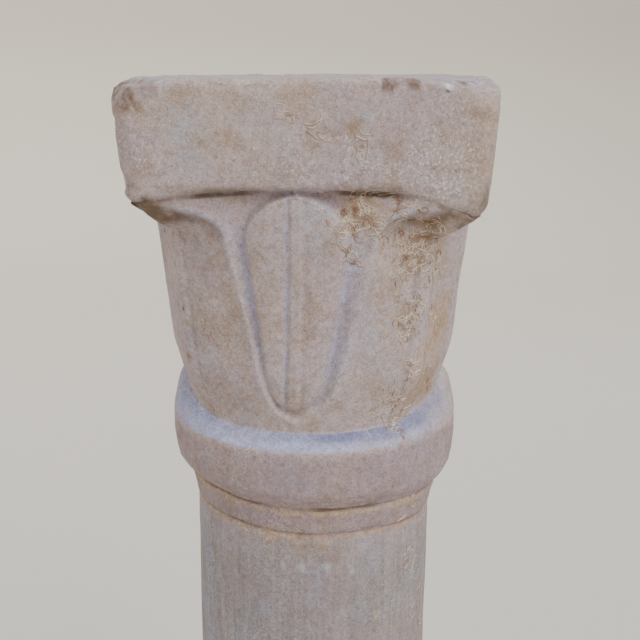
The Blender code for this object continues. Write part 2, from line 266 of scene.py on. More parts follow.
def bellSide(turn):
    # the carved bell: its layer less a V channel between the leaves, deeper in the hollow under the block,
    # with a flat midrib, a soft swell on each half leaf and a lip with a recess under it on the corner leaves
    c = column
    depth = bellRows()
    layer, body, turned, fade = bellLayer(turn, depth)
    sag = (depth / c["leafLength"]) ** 2
    face = faceAngle(turn)
    fromLeaf = face - c["leafTurn"] - c["leafLean"] * sag
    fromEdge = face - c["edgeTurn"] * (1.0 - sag)
    wall = c["leafWall"] / body                            # the leaf's sloping side
    leaf = leafEdge(depth) - wall * ramp(depth, c["leafLength"], 0.003)
    edge = cornerEdge(depth)
    off = np.abs(fromLeaf)
    leafSlope = np.clip(np.gradient((leaf * body)[:, 0], depth[:, 0]), -3.0, 3.0)[:, None]
    outsideLeaf = softStep((off - leaf) / wall / np.sqrt(1.0 + leafSlope**2) + 0.5)
    inside = (np.abs(fromEdge) - edge) * body              # distance into the corner leaf, along the section
    width = np.maximum((off - leaf - wall / 2) * body - inside, c["leastChannel"])
    across = np.clip(1.0 + inside / width, 0.0, 1.0)
    channel = outsideLeaf * (1.0 - 0.6 * across - 0.4 * softStep(across))
    hollow = channel * (1.0 - softStep(depth / c["hollowLength"])) * softStep(depth / 0.004)
    radius = layer - c["channelDepth"] * channel - c["hollowDepth"] * hollow

    ribHalf = c["ribWidth"] / body
    inLeaf = (1.0 - outsideLeaf) * softStep(leaf / ribHalf - 1.0)
    halfLeaf = np.clip((off - ribHalf) / np.maximum(leaf - ribHalf, ribHalf), 0.0, 1.0)
    rib = softStep((ribHalf - off) * body / c["ribFlank"])
    ribLine = ridge((off - ribHalf) * body, 0.0004, 0.0011) * (fromLeaf < 0)
    swell = c["leafSwell"] * np.sin(math.pi * halfLeaf) ** 0.6
    radius = radius + inLeaf * (swell - c["leafSetBack"] + c["ribHeight"] * rib - c["ribCut"] * ribLine)
    radius = radius + c["headLift"] * (1.0 - ramp(off, 0.1, 0.12)) * (1.0 - softStep(depth / 0.006))

    slope = np.gradient((edge * body)[:, 0], depth[:, 0])[:, None]
    within = inside / np.sqrt(1.0 + slope**2)              # distance into the corner leaf, square to its edge
    upper = 1.0 - ramp(depth, c["upperStart"], c["upperLength"])
    started = softStep(depth / c["carvedFrom"])
    lipLine = ridge(within, 0.7 * c["rimWidth"], c["rimWidth"]) * started
    fromCorner = math.pi / 4 - np.abs(turned)
    recess = ridge(within, c["recessInside"], c["recessWidth"]) * upper * started
    recess = c["recess"] * (recess * softStep(fromCorner / 0.16)) * softStep(within / 0.004)
    cornerRib = softStep(1.5 - fromCorner / c["cornerRib"] * 1.2) * fade * ramp(depth, 0.01, 0.03)
    fromRib = np.abs(fromCorner - c["cornerRib"]) * body
    cornerLine = ridge(fromRib, 0.0, c["lineWidth"]) * fade * ramp(depth, 0.02, 0.03)
    radius = radius - c["cornerCut"] * cornerLine
    bowl = np.sin(math.pi * np.clip(inside / ((math.pi / 4 - edge) * body + 0.001), 0.0, 1.0))
    radius = radius + lipLine * (c["rim"] + c["lip"] * upper) - recess
    radius = radius + c["cornerRibHeight"] * cornerRib - bowl * (0.0006 * fade + c["dish"] * upper)

    nearMiddle = ramp(off, 0.15, 0.13) * fall(off, 0.66, 0.18)
    quirk = softStep(1.0 - np.abs(depth - 0.5 * c["quirkHeight"]) / c["quirkHeight"]) * nearMiddle
    radius = radius - c["quirkDepth"] * quirk

    share = depth / c["bellHeight"]
    drop = cornerDrop(turn, turned) * (1.0 - softStep(share / c["twistEnd"]))
    rise = c["sideRise"] * np.sin(turn) ** 6 * ramp(share, 0.65, 0.35)
    shade = ridge(within, 0.01, 0.0055) * (1.0 - ramp(depth, 0.008, 0.03)) * started
    shade = shade * ramp(within, 0.003, 0.003)
    atCorner = ramp(np.abs(turned), 0.6, 0.1) * softStep(depth / 0.001)
    under = atCorner * (1.0 - ramp(depth, 0.014, 0.012))
    # channel, lip and ribLine are painted bluish sky light in the leaf channels, along the corner leaves'
    # lips and on the midrib's left flank; shade is painted shade in the recess under the lips and under the
    # block's corners
    masks = {
        "channel": channel * fade * (1.0 - softStep(hollow * 2.0)) * (1.0 - atCorner), "quirk": quirk,
        "lip": lipLine * (0.35 + 0.65 * upper) * fade * (1.0 - under), "shade": np.maximum(shade, under),
        "ribLine": inLeaf * ribLine, "cornerLine": cornerLine,
    }
    return radius, c["abacusHeight"] + depth + drop - rise, masks


def ringWave(turn):
    # how far the ring's foot hangs round the column: a tilt, two ripples and a sag towards the right
    c = column
    ripple = 0.0009 * np.sin(2 * turn + 0.6) + 0.0006 * np.sin(5 * turn + 2.0)
    sag = ridge(turn, c["ringSagTurn"], c["ringSagReach"])
    return c["ringTilt"] * np.sin(turn) + ripple + c["ringSag"] * sag


def ringLevels():
    # depths of the bell's foot, the ledge's rim, the ring's foot, the fillet's foot and the shaft's first row
    c = column
    top = c["abacusHeight"] + c["bellHeight"]
    rim = top + c["ledge"]
    ringFoot = rim + c["ringHeight"]
    filletFoot = ringFoot + c["filletHeight"]
    return top, rim, ringFoot, filletFoot, filletFoot + 3.0 * c["cutWidth"]


def ringSide(turn):
    # sloping ledge, band, cut line, fillet and cut line: straight runs between knots of depth and radius,
    # each with its number of steps, then lowered by ringWave and lifted at the sides
    c = column
    top, rim, ringFoot, filletFoot, shaftStart = ringLevels()
    outer, shaft, cut, wide = c["ringRadius"], c["shaftTop"], c["cutDepth"], c["cutWidth"]
    upper, lower = c["filletRadius"] + c["filletSlope"], shaft + 0.001
    knots = [
        (top + 0.0005, c["bellFoot"] + 0.0012, 5), (rim - 0.0014, outer - 0.002, 2),
        (rim, outer - 0.0006, 2), (rim + 0.002, outer, 6), (rim + 0.35 * c["ringHeight"], outer + 0.0002, 6),
        (rim + 0.7 * c["ringHeight"], outer - 0.0016, 4), (rim + 0.84 * c["ringHeight"], outer - 0.0052, 4),
        (ringFoot - 2.2 * wide, upper + 0.0022, 2), (ringFoot - 0.6 * wide, upper + 0.0008, 2),
        (ringFoot, upper - cut, 2), (ringFoot + 0.6 * wide, upper - 0.0004, 2),
        (ringFoot + 2.5 * wide, upper - 0.0003, 3),
        (ringFoot + 0.55 * c["filletHeight"], (2 * upper + 3 * lower) / 5, 3),
        (filletFoot - 2.0 * wide, lower + 0.0006, 2), (filletFoot - 0.6 * wide, lower, 2),
        (filletFoot, shaft - cut / 2, 2), (filletFoot + 0.8 * wide, shaft - 0.0002, 2),
        (shaftStart, shaft, 0),
    ]
    depths, radii, steps = np.array(knots).T
    where = np.concatenate([np.linspace(i, i + 1, int(n), endpoint=False) for i, n in enumerate(steps)])
    level = np.interp(where, np.arange(len(knots)), depths)[:, None]
    radius = np.interp(where, np.arange(len(knots)), radii)[:, None] + 0.0 * turn
    lowering = ramp(level, rim, c["ringHeight"])
    rise = c["sideRise"] * np.sin(turn) ** 6 * fall(level, rim + 0.004, c["ledge"]) ** 1.5
    ahead = ramp(np.cos(turn), 0.1, 0.6)
    toRight = ramp(np.sin(turn), 0.1, 0.45)
    creaseEnd = top + c["creaseWidth"] + 0.002 * toRight
    # ledge is painted bluish sky light on the sloping ledge, strongest at the front and weaker to the right;
    # the crease mask is painted shade in the crease where the bell meets the ledge
    masks = {
        "cut": sum(ridge(level, foot, 0.001) for foot in (ringFoot, filletFoot)) + 0.0 * turn,
        "seam": sum(ridge(level, foot + 0.0034, 0.0024) for foot in (ringFoot, filletFoot)),
        "ledge": fall(level, rim + 0.0015, 0.002) * (0.3 + 0.7 * ahead) * (1.0 - 0.4 * toRight),
        "creaseShade": fall(level, creaseEnd, 0.004) * (0.35 + 0.65 * ramp(np.sin(turn), -0.3, 0.5)) * ahead,
        "band": ramp(level, rim + 0.001, 0.006) + 0.0 * turn,
    }
    masks["seam"] = masks["seam"] * (0.3 + 0.7 * ramp(np.cos(turn), -0.3, 0.6))
    return radius, level + ringWave(turn) * lowering - rise, masks


def shaftSide(turn):
    # a plain shaft: radius grows evenly from top to foot, with rows further apart away from the capital
    c = column
    top = ringLevels()[-1]
    foot = columnHeight - c["plinthHeight"] - c["torusHeight"] - c["baseFilletHeight"]
    near = top + np.linspace(0.0, c["shaftNear"], 20, endpoint=False)
    far = np.linspace(top + c["shaftNear"], foot, 16)
    level = np.concatenate([near, far])[:, None]
    share = (level - top) / (foot - top)
    radius = c["shaftTop"] + (c["shaftFoot"] - c["shaftTop"]) * share
    radius = radius + c["shaftSwell"] * np.sin(math.pi * share)
    return radius + 0.0 * turn, level + ringWave(turn) * (1.0 - ramp(level, top, 0.08))


def baseSide(turn):
    # fillet, cut line, torus as a half circle in sin^0.7, plinth top, plinth side and underside
    c = column
    top = columnHeight - c["plinthHeight"] - c["torusHeight"] - c["baseFilletHeight"]
    filletFoot = top + c["baseFilletHeight"]
    torusFoot = filletFoot + c["torusHeight"]
    wide, inner = c["cutWidth"], c["baseFillet"]
    reach = c["torus"] - inner
    swell = (np.arange(10) + 0.5) / 10 * math.pi
    rounds = [
        (top + 0.6 * wide, inner - 0.001), (top + 1.6 * wide, inner), (filletFoot - 2 * wide, inner),
        (filletFoot - wide / 2, inner - 0.0006), (filletFoot, inner - c["cutDepth"]),
    ]
    rounds += [
        (filletFoot + c["torusHeight"] * (1.0 - math.cos(a)) / 2, inner + reach * math.sin(a) ** 0.7)
        for a in swell
    ]
    rounds += [(torusFoot, inner + c["cutDepth"])]
    level, radius = (np.array(v)[:, None] + 0.0 * turn for v in zip(*rounds))
    face = faceAngle(turn)
    half, soft = c["plinthWidth"] / 2, c["plinthRound"]
    outer = squareRadius(face, half - soft, c["plinthCorner"])
    shares = np.array([0.12, 0.35, 0.6, 0.85, 1.0])[:, None]
    bed = inner + (outer - inner) * shares
    rows = [(soft * (1.0 - math.cos(a)), soft * (1.0 - math.sin(a))) for a in (0.5, 1.0, 1.57)]
    bedDepth = torusFoot + wide / 2
    sideLevels = [(bedDepth + d, i) for d, i in rows]
    sideLevels += [
        (bedDepth + soft + (columnHeight - torusFoot - 2 * soft) * s, 0.0)
        for s in (0.15, 0.3, 0.45, 0.6, 0.75, 0.92)
    ]
    sideLevels += [(columnHeight - soft / 3, soft / 4), (columnHeight, soft)]
    sides = np.array([squareRadius(face, half - i, c["plinthCorner"])[0] for _, i in sideLevels])
    depths = np.array([d for d, _ in sideLevels])[:, None] + 0.0 * turn
    under = sides[-1] * np.array([0.9, 0.6, 0.25])[:, None]
    underLevel = np.full_like(under, columnHeight)
    bedLevel = np.full_like(bed, bedDepth)
    radius = np.concatenate([radius, bed, sides, under])
    return radius, np.concatenate([level, bedLevel, depths, underLevel])


def surfaceNormals(points):
    # cross product of the differences along the rows and around the columns
    down = np.gradient(points, axis=0)
    across = np.roll(points, -1, axis=1) - np.roll(points, 1, axis=1)
    normal = np.cross(down, across)
    length = np.linalg.norm(normal, axis=-1, keepdims=True)
    return normal / np.maximum(length, 1e-12)


def softened(field, rounds):
    # each round replaces a value by the mean of itself and its four neighbours on the grid
    for _ in range(rounds):
        above, below = np.roll(field, 1, axis=0), np.roll(field, -1, axis=0)
        above[0], below[-1] = field[0], field[-1]
        field = (field * 2 + above + below + np.roll(field, 1, axis=1) + np.roll(field, -1, axis=1)) / 6
    return field


def columnGrid():
    # stacks the sections into one grid of points and carries each section's masks with it
    turn = np.linspace(0.0, 2 * math.pi, column["around"], endpoint=False)[None, :]
    turn = turn - column["frontShare"] * np.sin(turn)          # closer together at the front
    block, bell, ring = abacusSide(turn), bellSide(turn), ringSide(turn)
    parts = [topFace(turn), block, bell, ring, shaftSide(turn), baseSide(turn)]
    radius = np.concatenate([p[0] for p in parts])
    depth = np.concatenate([p[1] for p in parts])
    counts = [len(p[0]) for p in parts]
    start = np.cumsum([0] + counts)
    masks = {}
    for section, (_, _, found) in ((1, block), (2, bell), (3, ring)):
        for name, mask in found.items():
            masks[name] = np.zeros_like(radius)
            masks[name][start[section]:start[section + 1]] = mask
    points = np.stack([radius * np.sin(turn), -radius * np.cos(turn), columnHeight - depth], axis=-1)
    points[..., 0] -= column["shaftBow"] * ridge(depth, column["bowDepth"], column["bowLength"])
    return points, masks, start


def seenPlaces(points):
    # pixel places of points as the camera sees them, pushed far away where the surface faces away from it
    matrix = np.array(camera.matrix_world.inverted())
    local = points @ matrix[:3, :3].T + matrix[:3, 3]
    scale = view["focal"] / -local[..., 2]
    half = view["frame"] / 2
    places = np.stack([half + local[..., 0] * scale, half - local[..., 1] * scale], axis=-1)
    towards = np.array(camera.location) - points
    facing = np.sum(surfaceNormals(points) * towards, axis=-1) / np.linalg.norm(towards, axis=-1)
    return np.where((facing > 0.05)[..., None], places, 1e4)


def gridAtPixel(pixel, places):
    # row and column of the point in view that falls nearest to a pixel
    away = np.sum((places - np.array(pixel)) ** 2, axis=-1)
    return np.unravel_index(np.argmin(away), away.shape)


# How the weather and the chisel left the surface, in metres
wearing = {
    "lumpSize": 0.06, "lump": 0.0011,
    "pitSize": 0.011, "pit": 0.00035,
    "chipSize": 0.013, "chip": 0.0035, "leafChip": 0.15, "baseChip": 0.45,
    "bites": [
        {"pixel": (474, 80), "size": 0.013, "depth": 0.0032},
        {"pixel": (493, 92), "size": 0.01, "depth": 0.003},
        {"pixel": (245, 78), "size": 0.009, "depth": 0.0012},
        {"pixel": (268, 77), "size": 0.012, "depth": 0.001},
        {"pixel": (117, 84), "size": 0.009, "depth": 0.0025},
        {"pixel": (386, 78), "size": 0.005, "depth": 0.0014},
    ],
}


def weather(points, start):
    # moves each point inwards along its normal by broad lumps, small pits and chips bitten out of the arrises
    w = wearing
    flat = points.copy()
    normal = surfaceNormals(points)
    lumps = layeredNoise(points, w["lumpSize"], 2, 11) * 0.5 - 0.35
    pits = layeredNoise(points, w["pitSize"], 3, 21) * 0.5 - 0.3
    arris = np.clip(np.sum((flat - softened(flat, 6)) * normal, axis=-1) / 0.001, 0.0, 1.0)
    bites = ramp(layeredNoise(points, w["chipSize"], 3, 31), 0.15, 0.5)
    bell = np.zeros(points.shape[:2])
    bell[start[2] + 8:start[3]] = 1.0
    chip = w["chip"] * (1.0 - (1.0 - w["leafChip"]) * bell)
    chip[start[5]:] *= w["baseChip"]
    inward = w["lump"] * lumps + w["pit"] * pits - chip * arris * bites
    places = seenPlaces(points)
    ragged = layeredNoise(points, 0.008, 2, 51)
    for bite in w["bites"]:
        away = np.linalg.norm(points - points[gridAtPixel(bite["pixel"], places)], axis=-1) / bite["size"]
        inward = inward - bite["depth"] * softStep(1.3 - away + 0.3 * ragged)
    edgeOfTop = ridge(columnHeight - points[..., 2], 0.0, 0.007)
    wave = layeredNoise(points * np.array([1.0, 1.0, 0.2]), 0.045, 2, 41)
    lowering = np.minimum(0.0, -0.0006 + 0.0009 * wave) * edgeOfTop
    ground = softStep(points[..., 2] / 0.006)
    moved = points + normal * (np.minimum(inward, 0.0003) * ground)[..., None]
    moved[..., 2] += lowering
    moved[..., 2] = np.minimum(moved[..., 2], columnHeight)
    limit = np.array(columnHigh) - 0.0002
    moved[..., 0] = np.clip(moved[..., 0], -limit[0], limit[0])
    moved[..., 1] = np.clip(moved[..., 1], -limit[1], limit[1])
    return moved, arris


def gridQuads(grid):
    # quads between neighbouring rows of a grid that closes on itself
    beside = np.roll(grid, -1, axis=1)
    return np.stack([grid[:-1], grid[1:], beside[1:], beside[:-1]], axis=-1).reshape(-1, 4)


def closedGrid(name, points):
    # one closed mesh: quads between neighbouring rows, and a fan to a middle point at each end
    rows, cols = points.shape[:2]
    grid = np.arange(rows * cols).reshape(rows, cols)
    nextCol = np.roll(grid, -1, axis=1)
    quads = gridQuads(grid)
    topPole, footPole = rows * cols, rows * cols + 1
    caps = np.stack([
        np.stack([np.full(cols, topPole), grid[0], nextCol[0]], axis=-1),
        np.stack([np.full(cols, footPole), nextCol[-1], grid[-1]], axis=-1),
    ]).reshape(-1, 3)
    poles = np.array([[0.0, 0.0, points[0, :, 2].mean()], [0.0, 0.0, points[-1, :, 2].mean()]])
    vertices = np.concatenate([points.reshape(-1, 3), poles])
    corners = np.concatenate([quads.ravel(), caps.ravel()]).astype(np.int32)
    sizes = np.concatenate([np.full(len(quads), 4), np.full(len(caps), 3)]).astype(np.int32)
    mesh = bpy.data.meshes.new(name)
    mesh.vertices.add(len(vertices))
    mesh.vertices.foreach_set("co", vertices.astype(np.float32).ravel())
    mesh.loops.add(len(corners))
    mesh.loops.foreach_set("vertex_index", corners)
    mesh.polygons.add(len(sizes))
    mesh.polygons.foreach_set("loop_start", np.concatenate([[0], np.cumsum(sizes)[:-1]]).astype(np.int32))
    mesh.polygons.foreach_set("loop_total", sizes)
    mesh.update(calc_edges=True)
    mesh.validate()
    mesh.shade_smooth()
    return mesh


def paintMask(mesh, name, values):
    # stores one number per point, with zero at the two middle points of the ends
    layer = mesh.attributes.new(name, "FLOAT", "POINT")
    layer.data.foreach_set("value", np.concatenate([values.ravel(), [0.0, 0.0]]).astype(np.float32))


columnPoints, columnMasks, sectionStart = columnGrid()
columnPoints, columnArris = weather(columnPoints, sectionStart)
columnNormals = surfaceNormals(columnPoints)
columnSeen = seenPlaces(columnPoints)
print("column grid", columnPoints.shape, "triangles about", 2 * columnPoints.shape[0] * columnPoints.shape[1])


# Marks on the stone by kind: pixel in the photograph, half width in millimetres and strength
marks = {
    "lichen": [
        (118, 88, 13, 1), (125, 99, 11, 0.9), (141, 83, 11, 0.6), (388, 84, 6.5, 0.9), (415, 81, 6, 0.8),
        (462, 82, 6.5, 0.8), (471, 83, 5, 0.7), (476, 114, 5, 0.35), (144, 198, 3, 0.7),
        (190, 356, 4, 0.45), (420, 331, 3, 0.5),
    ],
    # painted shade in dark olive under the block's corners
    "oliveShade": [
        (137, 203, 11, 1), (147, 207, 12, 1), (158, 216, 11, 0.8), (484, 200, 12, 1), (470, 210, 12, 1),
        (455, 218, 10, 0.9), (128, 190, 8, 0.4), (178, 214, 6, 0.35),
    ],
    # tan stains; the large marks on the column's right side are painted warm bounce light
    "tanAndWarmBounce": [
        (385, 255, 20, 0.35), (440, 250, 20, 0.45), (395, 330, 24, 0.4), (430, 350, 26, 0.4),
        (366, 212, 18, 0.9), (384, 226, 11, 0.6), (440, 320, 26, 0.8), (425, 380, 26, 0.7),
        (486, 120, 24, 0.35), (486, 165, 24, 0.35), (200, 84, 20, 0.25), (300, 84, 20, 0.25),
        (375, 615, 4.5, 0.6), (392, 626, 3.5, 0.6), (310, 512, 7, 0.5), (345, 512, 8, 0.6),
        (226, 518, 6, 0.5), (248, 528, 7, 0.55), (270, 533, 8, 0.6), (296, 537, 8, 0.55),
        (325, 540, 8, 0.45), (412, 500, 7, 0.45), (470, 150, 20, 0.3), (120, 120, 14, 0.3),
    ],
    # dark smudges; the marks on the bell's left side are painted shade
    "smudgeAndShade": [
        (300, 548, 12, 0.8), (326, 552, 14, 0.8), (280, 545, 9, 0.5), (250, 585, 14, 0.45),
        (400, 436, 10, 0.75), (425, 426, 10, 0.75), (300, 398, 16, 0.3), (240, 400, 16, 0.35),
        (210, 378, 14, 0.4), (204, 262, 20, 0.35), (340, 590, 16, 0.35), (300, 610, 16, 0.35),
        (360, 630, 14, 0.35), (200, 300, 16, 0.3), (205, 340, 16, 0.25), (240, 495, 12, 0.25),
        (300, 475, 14, 0.25), (395, 480, 12, 0.3),
    ],
    # the large bluish marks along the shaft's left edge are painted shade
    "streakAndShade": [
        (212, 560, 15, 1), (208, 600, 17, 1), (212, 632, 16, 1), (208, 530, 11, 0.7), (300, 568, 3, 0.6),
        (325, 569, 3, 0.7), (350, 568, 3, 0.6), (275, 567, 2.5, 0.5), (255, 560, 8, 0.4),
    ],
    "rust": [
        (400, 234, 5, 0.4), (432, 221, 14, 0.7), (455, 217, 12, 0.8), (412, 226, 8, 0.4),
        (418, 252, 17, 0.9), (428, 240, 13, 0.8), (413, 270, 9, 0.5), (356, 131, 5, 0.7),
        (361, 147, 4, 0.6), (404, 318, 7, 0.5), (415, 328, 5, 0.6), (411, 370, 6, 0.6),
        (395, 420, 8, 0.45), (190, 355, 4.5, 0.8), (300, 190, 6, 0.3),
    ],
    # ochre stains; the large marks on the column's right side, down to the shaft, are painted warm bounce
    # light
    "ochreAndWarmBounce": [
        (366, 207, 17, 0.3), (350, 203, 9, 0.4), (386, 203, 10, 0.4), (418, 588, 10, 0.6),
        (421, 622, 11, 0.7), (442, 320, 28, 0.85), (428, 380, 28, 0.8), (488, 120, 24, 0.6),
        (488, 165, 24, 0.6), (446, 265, 20, 0.45), (200, 82, 20, 0.35), (300, 82, 20, 0.35),
        (120, 160, 16, 0.35), (420, 86, 20, 0.25), (205, 330, 22, 0.35), (225, 395, 20, 0.35),
        (225, 198, 7, 0.7), (205, 199, 6, 0.5), (242, 197, 6, 0.6), (189, 88, 16, 0.45),
        (135, 113, 11, 0.45), (152, 116, 11, 0.4), (170, 114, 9, 0.35), (444, 129, 14, 0.4),
        (403, 149, 7, 0.5), (355, 128, 8, 0.6), (235, 320, 24, 0.6), (240, 365, 18, 0.5),
        (330, 235, 13, 0.45), (325, 285, 15, 0.4), (378, 380, 22, 0.45), (376, 290, 18, 0.35),
        (440, 290, 15, 0.35), (425, 380, 16, 0.4), (212, 410, 14, 0.35), (330, 500, 12, 0.3),
        (395, 520, 10, 0.6), (410, 505, 8, 0.6), (300, 404, 6, 0.5), (204, 152, 3, 0.6),
    ],
    "cool": [
        (187, 126, 16, 0.8), (192, 170, 15, 0.7), (365, 117, 7, 0.6), (285, 235, 6, 0.5),
        (255, 120, 15, 0.4), (372, 340, 13, 0.5), (392, 372, 13, 0.6), (200, 250, 12, 0.3),
    ],
    "frost": [
        (438, 165, 30, 1), (362, 168, 24, 0.8), (146, 162, 14, 0.8), (300, 165, 20, 0.5),
        (200, 408, 10, 1), (222, 420, 10, 0.8), (318, 207, 5, 1), (455, 110, 16, 0.4),
        (380, 420, 10, 0.4),
    ],
    "spot": [
        (165, 230, 1.1, 1), (183, 310, 1.3, 1), (180, 437, 1.2, 1), (446.5, 90, 1.6, 1),
    ],
    "white": [
        (447, 88, 3.2, 1), (282, 567, 2.4, 0.22), (304, 568, 2.6, 0.26), (328, 569, 2.6, 0.28),
        (352, 568, 2.6, 0.22),
    ],
}


def paintMarks():
    # each mark is a soft ball round its point, with an edge broken up by noise
    ragged = layeredNoise(columnPoints, 0.004, 3, 71) + 0.6 * layeredNoise(columnPoints, 0.011, 2, 75)
    masks = {}
    for kind, spots in marks.items():
        masks[kind] = np.zeros(columnPoints.shape[:2])
        for x, y, size, strength in spots:
            centre = columnPoints[gridAtPixel((x, y), columnSeen)]
            away = np.linalg.norm(columnPoints - centre, axis=-1) / (size / 1000)
            roughEdge = 0.0 if size < 2.0 else 0.6                 # the small spots stay round
            blot = softStep(1.5 - 1.4 * away + roughEdge * ragged) * strength
            masks[kind] = np.maximum(masks[kind], blot)
    return masks


def newMaterial(name):
    material = bpy.data.materials.new(name)
    material.use_nodes = True
    return material, material.node_tree, material.node_tree.nodes["Principled BSDF"]


def addNode(tree, kind, **settings):
    node = tree.nodes.new(kind)
    for name, value in settings.items():
        setattr(node, name, value)
    return node


def mixColour(tree, factor, first, second, blend="MIX"):
    # factor, first and second are sockets, numbers or colours
    node = addNode(tree, "ShaderNodeMix", data_type="RGBA", blend_type=blend)
    for socket, value in zip((node.inputs[0], node.inputs[6], node.inputs[7]), (factor, first, second)):
        if isinstance(value, bpy.types.NodeSocket):
            tree.links.new(value, socket)
        elif isinstance(value, float):
            socket.default_value = value
        else:
            socket.default_value = (*value, 1.0)
    return node.outputs[2]


def mathNode(tree, operation, first, second=0.0):
    node = addNode(tree, "ShaderNodeMath", operation=operation)
    for socket, value in zip(node.inputs, (first, second)):
        if isinstance(value, bpy.types.NodeSocket):
            tree.links.new(value, socket)
        else:
            socket.default_value = value
    return node.outputs[0]


def grainNode(tree, grain, place, strength):
    node = addNode(tree, "ShaderNodeGroup", node_tree=grain)
    tree.links.new(place, node.inputs["Vector"])
    node.inputs["Strength"].default_value = strength
    return node


def shaded(tree, colour, crystals):
    # colour times the grain's brightness factor
    shade = addNode(tree, "ShaderNodeCombineColor")
    for socket in shade.inputs:
        tree.links.new(crystals.outputs["Shade"], socket)
    return mixColour(tree, 1.0, colour, shade.outputs[0], "MULTIPLY")


def noiseNode(tree, coordinates, scale, detail, roughness):
    noise = addNode(tree, "ShaderNodeTexNoise")
    noise.inputs["Scale"].default_value = scale
    noise.inputs["Detail"].default_value = detail
    noise.inputs["Roughness"].default_value = roughness
    tree.links.new(coordinates, noise.inputs["Vector"])
    return noise.outputs["Fac"]


def noiseMask(tree, coordinates, scale, low, high, detail=4.0, roughness=0.55):
    # noise between two levels, stretched to 0 to 1
    level = addNode(tree, "ShaderNodeMapRange", clamp=True)
    level.inputs["From Min"].default_value = low
    level.inputs["From Max"].default_value = high
    tree.links.new(noiseNode(tree, coordinates, scale, detail, roughness), level.inputs["Value"])
    return level.outputs[0]


def makeGrainGroup():
    # fine crystals: four sizes of noise added up, as a brightness factor near 1 and a height
    group = bpy.data.node_groups.new("stoneGrain", "ShaderNodeTree")
    face = group.interface
    face.new_socket("Vector", in_out="INPUT", socket_type="NodeSocketVector")
    face.new_socket("Strength", in_out="INPUT", socket_type="NodeSocketFloat")
    face.new_socket("Shade", in_out="OUTPUT", socket_type="NodeSocketFloat")
    face.new_socket("Height", in_out="OUTPUT", socket_type="NodeSocketFloat")
    enter = addNode(group, "NodeGroupInput")
    leave = addNode(group, "NodeGroupOutput")
    total = None
    for scale, weight in ((120.0, 0.16), (280.0, 0.28), (650.0, 0.36), (1300.0, 0.36)):
        noise = noiseNode(group, enter.outputs["Vector"], scale, 3.0, 0.6)
        centred = mathNode(group, "SUBTRACT", noise, 0.5)
        part = mathNode(group, "MULTIPLY", centred, weight)
        total = part if total is None else mathNode(group, "ADD", total, part)
    scaled = mathNode(group, "MULTIPLY", total, enter.outputs["Strength"])
    group.links.new(mathNode(group, "ADD", scaled, 1.0), leave.inputs["Shade"])
    group.links.new(total, leave.inputs["Height"])
    return group


# Colours as linear red, green and blue. Some stand in for light: the pale blue is painted sky light, the
# crease and olive colours are painted shade, the dirt, smudge and streak colours serve both as stains and as
# painted shade, and the tan and ochre colours both as stains and as painted warm bounce light
stoneLook = {
    "mauve": (0.45, 0.368, 0.392), "beige": (0.495, 0.402, 0.362), "cool": (0.4, 0.402, 0.44),
    "pink": (0.49, 0.364, 0.366), "ochreAndWarmBounce": (0.345, 0.236, 0.16), "dirtAndShade": (0.15, 0.096, 0.056),
    "rust": (0.31, 0.195, 0.112), "lichen": (0.18, 0.112, 0.074), "spot": (0.02, 0.017, 0.015),
    "white": (0.82, 0.83, 0.85), "fleck": (0.82, 0.78, 0.76), "wear": (0.5, 0.44, 0.42),
    "pale": (0.405, 0.412, 0.575), "grey": (0.262, 0.217, 0.223), "greenGrey": (0.206, 0.191, 0.188),
    "blueGrey": (0.246, 0.25, 0.298), "tanAndWarmBounce": (0.49, 0.325, 0.185), "creaseShade": (0.19, 0.2, 0.33),
    "band": (0.88, 0.82, 0.86), "oliveShade": (0.175, 0.13, 0.076), "smudgeAndShade": (0.25, 0.185, 0.165),
    "streakAndShade": (0.3, 0.31, 0.385), "roughness": 0.86, "roughnessRange": 0.08,
    "grain": 2.4, "bump": 0.6, "bumpDistance": 0.001,
    "shaftTone": 0.8, "streakTone": 0.3, "arrisTone": 0.25, "skyLightTone": 0.6, "frostTone": 0.35,
    "fleckTone": 0.7, "streakStretch": 0.06,
}

# Noise that breaks the colours up: scale, the two levels it is stretched between, detail and, where it
# isn't the usual one, roughness
stoneNoise = {
    "mottle": (16.0, 0.38, 0.62, 5.0), "coolPatch": (28.0, 0.52, 0.7, 6.0),
    "pinkPatch": (75.0, 0.46, 0.64, 4.0), "ochrePatch": (42.0, 0.49, 0.68, 6.0, 0.7),
    "ochreSpeck": (200.0, 0.52, 0.68, 4.0), "shaftMottle": (22.0, 0.4, 0.6, 5.0),
    "bluePatch": (30.0, 0.5, 0.66, 5.0), "chiselStreak": (260.0, 0.44, 0.66, 3.0),
    "smudgeAndShade": (130.0, 0.25, 0.6, 5.0), "streakAndShade": (100.0, 0.3, 0.6, 5.0),
    "seam": (60.0, 0.28, 0.52, 5.0), "tanAndWarmBounce": (140.0, 0.25, 0.58, 5.0),
    "oliveShade": (110.0, 0.22, 0.55, 5.0), "cool": (110.0, 0.25, 0.6, 5.0),
    "ochreAndWarmBounce": (120.0, 0.32, 0.62, 5.0), "pale": (70.0, 0.32, 0.62, 6.0, 0.7),
    "creaseShade": (50.0, 0.2, 0.6, 5.0), "frostPatch": (22.0, 0.48, 0.66, 3.0),
    "fleck": (560.0, 0.53, 0.64, 4.0, 0.65), "dirtAndShade": (90.0, 0.2, 0.55, 5.0),
    "rust": (160.0, 0.34, 0.6, 5.0), "lichen": (170.0, 0.3, 0.6, 5.0),
    "gloss": (60.0, 0.3, 0.7, 4.0),
}


